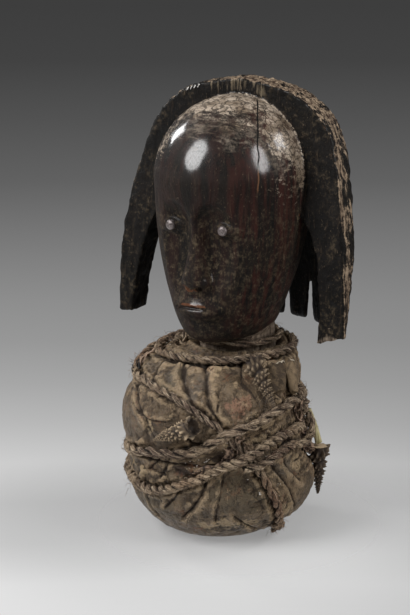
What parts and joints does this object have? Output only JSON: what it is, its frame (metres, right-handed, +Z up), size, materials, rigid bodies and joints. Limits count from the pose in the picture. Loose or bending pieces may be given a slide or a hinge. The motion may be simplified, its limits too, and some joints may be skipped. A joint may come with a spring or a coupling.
{
  "type": "fang reliquary figure",
  "caption": "Carved wooden reliquary head with an arched, tressed coiffure, its neck seated in a rounded hide relic packet lashed with twisted rope and hung with spiny shells.",
  "frame": {"origin": "middle of the packet's flat underside", "axes": "+Z up through the packet and head, -Y the way the face looks, +X the figure's own left"},
  "size_m": [0.284, 0.271, 0.498],
  "materials": {
    "carved_wood": "dark oiled patina, polished on the brow, worn and crackled on the crown",
    "stud_metal": "dull, rubbed",
    "packet_hide": "matte, folded and wrinkled",
    "rope_fibre": "matte twisted fibre",
    "shell_wall": "weathered",
    "quill_cane": "satin",
    "dried_hide": "matte, ragged"
  },
  "bodies": {
    "root": {"carved_head": "carved_wood", "eye_stud_left": "stud_metal", "eye_stud_right": "stud_metal", "rope_neck_turn": "rope_fibre", "rope_collar": "rope_fibre", "rope_diagonal": "rope_fibre", "rope_lower": "rope_fibre", "rope_waist": "rope_fibre", "rope_strand": "rope_fibre", "relic_bundle": "packet_hide", "shell_front": "shell_wall", "shell_left": "shell_wall", "shell_right": "shell_wall", "quill_tie": "quill_cane", "hide_flap": "dried_hide", "hide_roll": "dried_hide"}
  },
  "joints": []
}
